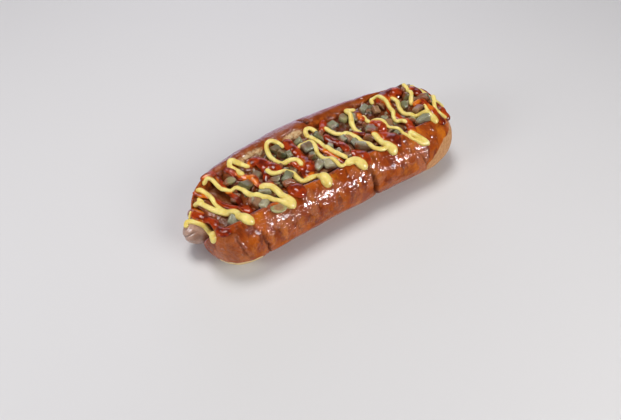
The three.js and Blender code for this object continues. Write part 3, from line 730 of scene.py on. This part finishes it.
def with_bread(s, colour, pale, torn):
    """The crust's colour with bread without glaze: the pale end, the torn lower edge and the crumb."""
    end = s.blend(s.between(s.noise(3.2, 5, 0.65), 0.30, 0.70), (0.50, 0.235, 0.095), (0.64, 0.345, 0.165))
    colour = s.blend(torn, s.blend(pale, colour, end), (0.78, 0.58, 0.30))
    bare = s.blend(s.between(s.noise(2.4, 4), 0.4, 0.65), (0.70, 0.50, 0.28), (0.42, 0.20, 0.07))
    soaked = s.blend(s.between(s.noise(4.5, 4), 0.38, 0.66), (0.38, 0.080, 0.009), (0.17, 0.030, 0.006))
    return s.blend(s.number("crumb"), colour, s.blend(s.number("soaked"), bare, soaked))


def crust_material():
    s = Shader("baked_crust", Roughness=0.45, Specular_IOR_Level=0.0, Coat_Roughness=0.02, Coat_IOR=1.35,
               Subsurface_Weight=0.02, Subsurface_Scale=0.003, Subsurface_Radius=(1.0, 0.4, 0.15),
               Sheen_Roughness=0.35, Sheen_Tint=(0.86, 0.74, 1.0, 1))
    dull = s.between(s.math("ADD", s.number("dull"), s.times(s.noise(5, 4), 0.5)), 0.55, 0.95)
    frayed = s.times(s.noise(3, 3), 0.3)
    pale = s.between(s.math("ADD", s.number("pale"), frayed), 0.45, 0.80)
    torn = s.between(s.math("ADD", s.number("seam"), frayed), 0.50, 0.75)
    colour = with_bread(s, crust_colour(s, dull), pale, torn)
    # the glaze is pebbled, most of all where it is dull
    strong = s.most(dull, s.between(s.noise(20, 2), 0.42, 0.60, 0.45, 0.95))
    pebbles = s.times(s.between(s.noise(2.2, 0, 0.5), 0.32, 0.68), strong)
    swells = s.bump(s.noise(8, 1), 0.9, 0.8)
    skin, glaze = s.bump(pebbles, 0.18, 1.0, swells), s.bump(pebbles, 0.52, 1.0, swells)
    # bread is dry, and the glaze is thin on soaked crumb and in creases
    dry = s.times(s.number("crumb"), s.without(s.number("soaked")))
    dry = s.most(dry, s.most(s.times(pale, 0.85), torn))
    thin = s.most(s.times(s.number("crumb"), 0.65), s.times(s.number("crease"), 0.8))
    rough = s.most(s.between(s.noise(11, 3), 0.35, 0.7, 0.42, 0.58), s.times(dry, 0.85))
    coat = s.times(s.without(s.most(dry, thin)), s.between(strong, 0.45, 0.80, 0.30, 1.0))
    sheen = s.between(s.number("outer"), 0.0, 1.0, 0.04, 0.95)
    return s.set(Base_Color=colour, Roughness=rough, Normal=skin, Coat_Normal=glaze, Coat_Weight=coat,
                 Sheen_Weight=sheen)


# ---- Sausage ----

def sausage():
    rings, sides = 340, 72
    # the rings lie closer together towards the tips
    share = (1 - np.cos(np.linspace(0, np.pi, rings))) / 2
    share = 0.5 * share + 0.5 * np.linspace(0, 1, rings)
    x = SAUSAGE_LEFT + (SAUSAGE_RIGHT - SAUSAGE_LEFT) * share
    tip = np.minimum(x - SAUSAGE_LEFT, SAUSAGE_RIGHT - x)
    radius = SAUSAGE_RADIUS * end_scale(tip, (SAUSAGE_TIP, 2))
    turn = np.linspace(0, 2 * np.pi, sides, endpoint=False)
    gx, gt = np.meshgrid(x, turn, indexing="ij")
    gr = radius[:, None] * np.ones_like(gt)
    points = np.stack([gx, SAUSAGE_Y + gr * np.cos(gt), SAUSAGE_Z + gr * np.sin(gt)], -1).reshape(-1, 3)
    rows = np.arange(rings - 1)[:, None] * sides
    cols = np.arange(sides)
    quads = np.stack([rows + cols, rows + sides + cols, rows + sides + (cols + 1) % sides,
                      rows + (cols + 1) % sides], -1).reshape(-1, 4)
    # straight out from a middle line that ends short of the tips
    short = 13
    out = points - (0, SAUSAGE_Y, SAUSAGE_Z)
    out[:, 0] -= np.clip(points[:, 0], SAUSAGE_LEFT + short, SAUSAGE_RIGHT - short)
    out /= np.linalg.norm(out, axis=1, keepdims=True) + 1e-9
    x, y, z = points.T
    # the puckered tip: a slanting cleft, with folds that gather towards it
    cleft_off = (y - SAUSAGE_Y + 1.5) * 0.80 + (z - SAUSAGE_Z - 1.0) * 0.60
    near_tip = ramp(-122, -134, x)
    cleft = np.exp(-(cleft_off / 0.9) ** 2) * near_tip
    around = np.arctan2(z - SAUSAGE_Z, y - SAUSAGE_Y)
    folds = np.sin(around * 9 + 1.5 * noise(points, 6, 21)) * ramp(-128, -135.5, x)
    wrinkles = noise(points * (0.35, 1, 1), 2.6, 22)
    move = (-0.8 * cleft + 0.12 * folds + 0.35 * noise(points, 14, 23) + 0.10 * wrinkles
            + 0.05 * noise(points, 1.1, 24) - 0.25)
    points = points + out * move[:, None]
    for end in (0, rings - 1):
        ring = slice(end * sides, (end + 1) * sides)
        points[ring] = points[ring].mean(0)
    piece("sausage_link", points, quads, sausage_material(), ["sausage"],
          {"cleft": cleft, "tip": ramp(-98, -112, x + 3 * noise(points, 6, 25))})


def sausage_material():
    s = Shader("sausage_casing", Roughness=0.3, Coat_Weight=1.0, Coat_Roughness=0.24, Coat_IOR=1.5,
               Subsurface_Weight=0.08, Subsurface_Scale=0.004, Subsurface_Radius=(1.0, 0.35, 0.2))
    patches = s.between(s.noise(9, 4), 0.38, 0.64)
    browned = s.blend(patches, (0.360, 0.150, 0.070), (0.210, 0.075, 0.032))
    bare = s.blend(patches, (0.54, 0.32, 0.23), (0.34, 0.165, 0.095))
    colour = s.blend(s.number("tip"), browned, bare)
    specks = s.between(s.cells(1.6), 0.22, 0.10)
    colour = s.stain(colour, specks, 0.5, (0.08, 0.030, 0.016))
    # painted shade: the cleft at the tip is painted darker
    colour = s.stain(colour, s.number("cleft"), 0.6, (0.10, 0.040, 0.018))
    skin = s.bump(s.noise(1.0, 4, 0.6), 0.25, 0.6, s.bump(s.noise(3.4, 2, stretch=(0.4, 1, 1)), 0.5, 0.5))
    rough = s.between(s.noise(5, 3), 0.35, 0.7, 0.22, 0.42)
    return s.set(Base_Color=colour, Roughness=rough, Normal=skin, Coat_Normal=skin)


# ---- Heap ----

heights = Heights()
x, y = heights.gx, heights.gy
heights.raise_to(np.minimum(loaf_top(x, y), wall_top(x, y)))
heights.raise_to(sausage_top(x, y))
bare_ground = np.maximum(heights.z, heap_top(x, y))
rng = np.random.default_rng(20)

# What the heap is made of, as the colour of its flesh and of its skin, and the sauces on it.
COLOURS = {
    "grey": ((0.305, 0.295, 0.190), (0.100, 0.105, 0.060)),
    "green": ((0.225, 0.225, 0.120), (0.050, 0.060, 0.026)),
    "rind": ((0.330, 0.300, 0.130), (0.110, 0.115, 0.040)),
    "olive": ((0.150, 0.135, 0.060), (0.045, 0.045, 0.020)),
    "cream": ((0.450, 0.400, 0.250), (0.300, 0.250, 0.130)),
    "onion": ((0.290, 0.150, 0.072), (0.230, 0.100, 0.040)),
    "brown": ((0.145, 0.062, 0.026), (0.100, 0.040, 0.016)),
    "glaze": ((0.155, 0.038, 0.010), (0.080, 0.014, 0.005)),
}
SAUCE, THIN_SAUCE, GLAZE = (0.115, 0.016, 0.005), (0.260, 0.055, 0.010), (0.175, 0.062, 0.016)
BROWNED, BROWNED_DARK = (0.27, 0.105, 0.045), (0.17, 0.060, 0.024)
CRUST_SEEN = (0.40, 0.175, 0.070)


def drawn(odds):
    """A kind, drawn from a table of kinds and their odds."""
    return list(odds)[rng.choice(len(odds), p=list(odds.values()))]


def shade(first, second, share):
    """A colour between two others at each point."""
    return mix(np.asarray(first), np.asarray(second), share[..., None])


def plan_noise(size, seed):
    flat = np.stack([heights.gx, heights.gy, np.zeros_like(heights.gx)], -1)
    return noise(flat, size, seed)


def sauce_reach():
    """How far each spot of the plan lies from the edge of the nearest ketchup."""
    away = np.full_like(heights.z, 20.0)
    for width, _, route in KETCHUP:
        for cx, cy in spline(route, 1.5)[0]:
            part = heights.window(cx, cy, 14)
            far = np.hypot(heights.gx[part] - cx, heights.gy[part] - cy) - width / 2
            away[part] = np.minimum(away[part], far)
    return away + 1.2 * plan_noise(5, 33)


def bumps(tint):
    """Heights of small bumps strewn over the heap. Each gives its own spot of the tint its colour."""
    lift = np.zeros_like(heights.z)
    odds = {"glaze": 0.38, "brown": 0.26, "olive": 0.14, "onion": 0.14, "green": 0.08}
    for _ in range(BUMPS):
        px, py = rng.uniform(HEAP_LEFT + 2, HEAP_RIGHT - 2), rng.uniform(-31, 21)
        long, wide = rng.uniform(2.4, 6.0), rng.uniform(1.8, 3.6)
        turn, rise = rng.uniform(0, np.pi), rng.uniform(0.6, 3.4) * (0.3 if px < BARE_RIGHT else 1)
        colour = np.array(COLOURS[drawn(odds)][0]) * rng.uniform(0.6, 1.1)
        part = heights.window(px, py, long + 0.5)
        dx, dy = heights.gx[part] - px, heights.gy[part] - py
        u, v = dx * np.cos(turn) + dy * np.sin(turn), dy * np.cos(turn) - dx * np.sin(turn)
        bulge = 1 - (np.abs(u) / long) ** 3 - (np.abs(v) / wide) ** 3
        bump = np.where(bulge > 0, rise * np.sqrt(np.maximum(bulge, 0)), 0)
        higher = bump > lift[part]
        lift[part] = np.where(higher, bump, lift[part])
        wash = ramp(0.4, 1.6, bump)
        tint[part] = np.where(higher[..., None], shade(SAUCE, colour, wash), tint[part])
    return soften(lift, 1)


def relish():
    """Raises the heights by what fills the heap between its pieces, and gives the colour of each spot."""
    top = heap_top(heights.gx, heights.gy)
    base = top - 2.0 + 2.8 * ramp(6, 20, heights.gy) * ramp(HEAP_RIGHT, HEAP_RIGHT - 30, heights.gx)
    tint = np.zeros(top.shape + (3,)) + COLOURS["glaze"][0]
    lift = bumps(tint)
    # over the bare sausage the bumps give way to a smooth brown glaze
    glazed, radius = over_sausage(heights.gx), SAUSAGE_RADIUS + GLAZE_THICKNESS
    dome = SAUSAGE_Z + np.sqrt(np.maximum(radius ** 2 - (heights.gy - SAUSAGE_Y) ** 2, 0))
    base = mix(base, np.maximum(base, soft_max(dome, GLAZE_HEIGHT, GLAZE_FILLET)), glazed)
    lift = lift * (1 - 0.85 * glazed)
    browned = shade(BROWNED, BROWNED_DARK, ramp(-0.5, 0.5, plan_noise(9, 35)))
    tint = mix(tint, browned, 0.85 * glazed[..., None])
    # near the ketchup the heap is red
    red = shade(THIN_SAUCE, SAUCE, ramp(0.0, 0.8, plan_noise(7, 34)))
    tint = mix(tint, red, 0.85 * ramp(5.0, 1.0, sauce_away)[..., None])
    heights.raise_to(np.where(top > 0, base + lift, 0))
    return tint


def heap(tint):
    grid = Field(*HEAP_BOX, HEAP_CELL)
    gx, gy = np.broadcast_arrays(grid.x[:, :, 0], grid.y[:, :, 0])
    inside = heap_top(gx, gy) > 0
    top = np.where(inside, heights.at(gx, gy), 0)[:, :, None]
    wall = outline_distance(slit_section(), grid.y[0], grid.z[0])[None] + 0.5
    ends = np.maximum(np.maximum(grid.x - HEAP_RIGHT, HEAP_LEFT - grid.x), HEAP_FOOT - grid.z)
    grid.value[:] = np.maximum(soft_max((grid.z - top) * 0.75, wall, 1.0), ends)
    points, quads = grid.skin()
    points[:, 2] += 0.22 * noise(points, 2.4, 31)
    colours = np.stack([heights.at(points[:, 0], points[:, 1], tint[..., k]) for k in range(3)], 1)
    piece("relish_core", points, quads, relish_material(), ["toppings"],
          colours={"tint": colours})


def relish_material():
    s = Shader("wet_relish", Roughness=0.3, Specular_IOR_Level=0.0, Coat_Weight=1.0, Coat_Roughness=0.05,
               Coat_IOR=1.4, Subsurface_Weight=0.12, Subsurface_Scale=0.003,
               Subsurface_Radius=(1.0, 0.4, 0.2))
    colour = s.stain(s.colour("tint"), s.between(s.noise(2.2, 4), 0.45, 0.7), 0.4, (0.050, 0.010, 0.004))
    skin = s.bump(s.noise(2.6, 3, 0.55), 0.7, 0.7)
    return s.set(Base_Color=colour, Normal=skin, Coat_Normal=skin)


# ---- Pieces of pickle and onion ----

def cube_net(n):
    """Points on a cube from -1 to 1 with n quads along each edge, and its quads."""
    found, points, quads = {}, [], []

    def index(key):
        if key not in found:
            found[key] = len(points)
            points.append([2 * k / n - 1 for k in key])
        return found[key]

    for axis in range(3):
        for side in (0, n):
            for a in range(n):
                for b in range(n):
                    corners = []
                    for da, db in ((0, 0), (1, 0), (1, 1), (0, 1)):
                        key = [0, 0, 0]
                        key[axis], key[(axis + 1) % 3], key[(axis + 2) % 3] = side, a + da, b + db
                        corners.append(index(tuple(key)))
                    quads.append(corners if side else corners[::-1])
    return np.array(points), np.array(quads)


NETS = {n: cube_net(n) for n in (5, 10)}


def lump(size, turn, tilt, net, round_off=0.27, uneven=0.13, disc=False):
    """An uneven block or disc about the origin, with worn edges."""
    cube, quads = NETS[net]
    cube = np.sign(cube) * np.abs(cube) ** 0.65
    if disc:
        square = np.abs(cube[:, :2]).max(1) / np.maximum(np.hypot(cube[:, 0], cube[:, 1]), 1e-6)
        cube = cube * np.column_stack([square, square, np.ones(len(cube))])
    half = np.array(size) / 2
    edge = round_off * half.min() * 2
    core = np.clip(cube * half, -(half - edge), half - edge)
    if disc:
        core = cube * (half - edge)
    out = cube * half - core
    length = np.linalg.norm(out, axis=1, keepdims=True)
    points = core + out / np.maximum(length, 1e-6) * np.minimum(length, edge)
    points = points + points @ rng.normal(0, uneven, (3, 3)).T
    points[:, 1:] *= 1 + rng.normal(0, uneven) * cube[:, :1]
    seed = int(rng.integers(1, 90))
    points = points + 0.12 * half.min() * np.stack([noise(points, half.min(), seed + k) for k in range(3)], 1)
    points[:, 2] += 0.05 * size[0] * rng.normal() * cube[:, 0] ** 2
    a, b, c = tilt[0], tilt[1], turn
    rx = np.array([[1, 0, 0], [0, np.cos(a), -np.sin(a)], [0, np.sin(a), np.cos(a)]])
    ry = np.array([[np.cos(b), 0, np.sin(b)], [0, 1, 0], [-np.sin(b), 0, np.cos(b)]])
    rz = np.array([[np.cos(c), -np.sin(c), 0], [np.sin(c), np.cos(c), 0], [0, 0, 1]])
    return points @ (rz @ ry @ rx).T, quads, cube


class Pieces:
    """Many lumps joined into one mesh, with a colour at each point."""

    def __init__(self):
        self.points, self.quads, self.tint, self.count = [], [], [], 0

    def add(self, points, quads, tint):
        self.points.append(points)
        self.quads.append(quads + self.count)
        self.tint.append(tint)
        self.count += len(points)

    def cover(self):
        """Raises the heights to the tops of the lumps."""
        points = np.concatenate(self.points)
        u = ((points[:, 0] - heights.low[0]) / heights.step).round().astype(int)
        v = ((points[:, 1] - heights.low[1]) / heights.step).round().astype(int)
        for du in (-1, 0, 1):
            for dv in (-1, 0, 1):
                np.maximum.at(heights.z, (np.clip(u + du, 0, len(heights.x) - 1),
                                          np.clip(v + dv, 0, len(heights.y) - 1)), points[:, 2] - 0.1)

    def make(self, name, material):
        piece(name, np.concatenate(self.points), np.concatenate(self.quads), material,
              colours={"tint": np.concatenate(self.tint)})


def painted(points, cube, kind, ground):
    """Flesh with a darker skin on one side, sauced low down and in a film over parts of it."""
    flesh, skin = (np.array(c) * rng.uniform(0.82, 1.15) for c in COLOURS[kind])
    side = cube[:, rng.integers(0, 2)] * rng.choice([-1, 1])
    peel = ramp(0.80, 0.97, side + 0.10 * noise(points, 2.2, 51)) * (rng.random() < 0.6)
    colour = shade(flesh, skin, peel)
    stain = ramp(2.0, -0.6, points[:, 2] - ground + 0.9 * noise(points, 2.5, 52))
    colour = shade(colour, np.array(SAUCE) * 1.3, 0.85 * stain)
    colour = shade(colour, GLAZE, 0.65 * ramp(0.10, 0.65, noise(points, 8, 54)))
    away = heights.at(points[:, 0], points[:, 1], sauce_away)
    return shade(colour, THIN_SAUCE, 0.85 * ramp(3.8, 1.0, away + 1.6 * noise(points, 4, 53)))


def diced():
    """The dice and slices that show one by one."""
    pieces = Pieces()
    odds = {"grey": 0.40, "green": 0.20, "olive": 0.10, "cream": 0.14, "onion": 0.16}
    for index, (px, py, long, wide, turn) in enumerate(DICE):
        tilt = (PIECE_TILT * np.sin(index * 2.4), PIECE_TILT * np.cos(index * 1.7))
        shape, quads, cube = lump((long, wide, PIECE_THICKNESS), np.radians(turn), tilt, 10)
        ground = max(float(heights.at(px, py, bare_ground)), PIECE_FLOOR)
        points = shape + (px, py, ground + PIECE_LIFT)
        pieces.add(points, quads, painted(points, cube, drawn(odds), ground))
    for px, py, across, thick in SLICES:
        shape, quads, cube = lump((across, across, thick), 0.4, (0.1, 0.15), 10, 0.30, disc=True)
        ground = float(heights.at(px, py, bare_ground))
        points = shape + (px, py, ground + PIECE_LIFT)
        colour = painted(points, cube, "rind", ground)
        if thick < THIN_SLICE:
            seen = ramp(0.75, 0.45, np.hypot(cube[:, 0], cube[:, 1]) + 0.15 * noise(points, 3, 55))
            colour = shade(colour, CRUST_SEEN, 0.8 * seen)
        pieces.add(points, quads, colour)
    pieces.cover()
    return pieces


def loose_bits():
    """Smaller bits, strewn between and on the dice."""
    bits = Pieces()
    odds = {"grey": 0.20, "green": 0.18, "olive": 0.16, "cream": 0.10, "onion": 0.18, "brown": 0.18}
    for _ in range(BITS):
        px, py = rng.uniform(HEAP_LEFT + 20, HEAP_RIGHT - 3), rng.normal(-5, 13)
        if abs(py - SLIT_CENTRE) > SLIT_HALF - 2 or (px < BARE_RIGHT and py > -18):
            continue
        size = (rng.uniform(3.0, 7.0), rng.uniform(2.5, 4.5), rng.uniform(2.0, 3.4))
        ground = float(heights.at(px, py))
        if ground > heap_top(px, py) + 2:
            continue
        shape, quads, cube = lump(size, rng.uniform(0, 6.3), rng.normal(0, 0.30, 2), 5)
        points = shape + (px, py, ground - 0.4)
        bits.add(points, quads, painted(points, cube, drawn(odds), ground))
    bits.cover()
    return bits


def chopped():
    pieces, bits, material = diced(), loose_bits(), pickle_material()
    pieces.make("pickle_pieces", material)
    bits.make("chopped_bits", material)


def pickle_material():
    s = Shader("pickle", Roughness=0.4, Specular_IOR_Level=0.1, Coat_Weight=0.8, Coat_Roughness=0.12,
               Coat_IOR=1.4, Subsurface_Weight=0.7, Subsurface_Scale=0.005,
               Subsurface_Radius=(1.0, 0.95, 0.7))
    veins = s.between(s.noise(2.4, 4, 0.6), 0.42, 0.70)
    colour = s.stain(s.colour("tint"), veins, 0.35, (0.10, 0.085, 0.050))
    skin = s.bump(s.noise(2.0, 4, 0.65), 0.5, 0.8)
    return s.set(Base_Color=colour, Normal=skin, Coat_Normal=skin)


# ---- Sauces ----

def spline(route, step=0.5):
    """Points every step along a smooth curve through the turning points of a route."""
    p = np.array(route, float)
    p = np.concatenate([[2 * p[0] - p[1]], p, [2 * p[-1] - p[-2]]])
    t = np.linspace(0, 1, 40, endpoint=False)[:, None]
    parts = []
    for a, b, c, d in zip(p, p[1:], p[2:], p[3:]):
        parts.append(0.5 * (2 * b + (c - a) * t + (2 * a - 5 * b + 4 * c - d) * t ** 2
                            + (3 * b - a - 3 * c + d) * t ** 3))
    fine = np.concatenate(parts + [p[-2:-1]])
    along = np.concatenate([[0], np.cumsum(np.linalg.norm(np.diff(fine, axis=0), axis=1))])
    marks = np.linspace(0, along[-1], max(4, int(along[-1] / step)))
    return np.stack([np.interp(marks, along, fine[:, k]) for k in range(2)], 1), marks


def smoothed(values, reach):
    """A running mean over reach points each way, for the lie of a strand."""
    kernel = np.hanning(2 * reach + 3)[1:-1]
    padded = np.pad(values, reach, mode="edge")
    return np.convolve(padded, kernel / kernel.sum(), "valid")


def over_sausage(x):
    """1 where the sausage lies bare in the slit, 0 elsewhere."""
    return ramp(-121, -114, x) * ramp(-82, -90, x)


def laid(strand, pour, seed):
    """Centres and radii of the beads that make a strand."""
    width, blob, route = strand
    plan, along = spline(route)
    left = along[-1] - along
    bare = over_sausage(plan[:, 0])
    radius = mix(pour["spread"], 1, bare) * mix(width, blob, ramp(blob * 1.6, blob * 0.5, left)) / 2
    line = np.stack([along, 0 * along, 0 * along], 1)
    radius = radius * (1 + 0.14 * noise(line, 9, seed) + 0.06 * noise(line, 3.5, seed + 1))
    inward = np.clip(1 - np.minimum(along, left) / radius, 0, 0.97)
    radius = radius * np.sqrt(1 - inward ** 2)
    lie = np.maximum(heights.at(*plan.T), mix(*BRIDGE, ramp(-107, -91, plan[:, 0])) * bare)
    reach = pour["bridge"]
    lie = np.maximum(smoothed(lie, reach), 0.3 * lie + 0.7 * smoothed(lie, reach // 2))
    return np.column_stack([plan, smoothed(lie, 5) + pour["rise"] * pour["flat"] * radius]), radius


def poured(grid, strands, pour):
    """Adds strands to a field, and returns the heights of their tops."""
    tops = np.zeros_like(heights.z)
    flat, beyond = pour["flat"], 1.6
    for index, strand in enumerate(strands):
        centre, radius = laid(strand, pour, pour["seed"] + 3 * index)
        wide = radius.max() + beyond
        part = grid.part(centre.min(0) - wide, centre.max(0) + wide)
        own = np.full(grid.value[part].shape, 9.0, np.float32)
        for bead, r in zip(centre, radius):
            box = grid.part(bead - r - beyond, bead + r + beyond)
            x, y, z = grid.x[box[0]], grid.y[:, box[1]], grid.z[:, :, box[2]]
            far = np.sqrt((x - bead[0]) ** 2 + (y - bead[1]) ** 2 + ((z - bead[2]) / flat) ** 2) - r
            local = tuple(slice(b.start - p.start, b.stop - p.start) for b, p in zip(box, part))
            own[local] = np.minimum(own[local], far)
            spot = heights.window(bead[0], bead[1], r)
            dome = r * r - (heights.gx[spot] - bead[0]) ** 2 - (heights.gy[spot] - bead[1]) ** 2
            top = np.where(dome > 0, bead[2] + flat * np.sqrt(np.maximum(dome, 0)), 0)
            tops[spot] = np.maximum(tops[spot], top)
        grid.value[part] = soft_min(grid.value[part], own, pour["merge"])
    return tops


def squeezed(name, points, quads, mixed, seed, material):
    """A sauce's skin, slightly uneven, with how far it is mixed with the other sauce."""
    points = points + normals(points, quads) * (0.08 * noise(points, 2.8, seed))[:, None]
    piece(name, points, quads, material, numbers={"mixed": mixed})


def sauces():
    red, yellow = Field(*SAUCE_BOX, KETCHUP_CELL), Field(*SAUCE_BOX, MUSTARD_CELL)
    heights.raise_to(poured(red, KETCHUP, KETCHUP_POUR))
    poured(yellow, MUSTARD, MUSTARD_POUR)
    # each sauce takes some of the other's colour where they lie together
    points, quads = red.skin()
    mixed = ramp(2.8, 0.0, yellow.sample(points)[0] + 1.4 * noise(points, 5, 61))
    mixed = mixed * ramp(-0.35, 0.35, noise(points, 12, 62))
    for x, y, reach in STIRRED:
        away = np.hypot(points[:, 0] - x, points[:, 1] - y) + 1.5 * noise(points, 4, 67)
        mixed = np.maximum(mixed, 0.9 * ramp(reach, reach / 2, away))
    squeezed("ketchup", points, quads, mixed, 63, ketchup_material())
    points, quads = yellow.skin()
    mixed = ramp(0.9, -0.3, red.sample(points)[0] + 0.6 * noise(points, 3, 66))
    squeezed("mustard", points, quads, mixed, 64, mustard_material())


def ketchup_material():
    s = Shader("ketchup", Roughness=0.3, Specular_IOR_Level=0.0, Coat_Weight=1.0, Coat_Roughness=0.03,
               Coat_IOR=1.42, Subsurface_Weight=0.30, Subsurface_Scale=0.003,
               Subsurface_Radius=(1.0, 0.14, 0.04))
    depth = s.between(s.noise(9, 4), 0.40, 0.62)
    colour = s.blend(depth, (0.370, 0.036, 0.003), (0.125, 0.010, 0.002))
    colour = s.blend(s.number("mixed"), colour, (0.70, 0.165, 0.008))
    skin = s.bump(s.noise(3.2, 3, 0.5), 0.7, 0.5)
    return s.set(Base_Color=colour, Normal=skin, Coat_Normal=skin)


def mustard_material():
    s = Shader("mustard", Roughness=0.42, Specular_IOR_Level=0.3, Coat_Weight=0.3, Coat_Roughness=0.25,
               Coat_IOR=1.4, Subsurface_Weight=0.25, Subsurface_Scale=0.003,
               Subsurface_Radius=(1.0, 0.7, 0.2))
    colour = s.blend(s.between(s.noise(6, 3), 0.38, 0.66), (0.86, 0.70, 0.215), (0.76, 0.57, 0.130))
    grain = s.between(s.cells(0.9), 0.14, 0.04)
    colour = s.stain(colour, grain, 0.25, (0.50, 0.32, 0.07))
    colour = s.stain(colour, s.number("mixed"), 0.55, (0.72, 0.30, 0.03))
    skin = s.bump(s.noise(1.8, 3, 0.6), 0.2, 0.5)
    return s.set(Base_Color=colour, Normal=skin, Coat_Normal=skin)


sauce_away = sauce_reach()
bun()
sausage()
heap(relish())
chopped()
sauces()
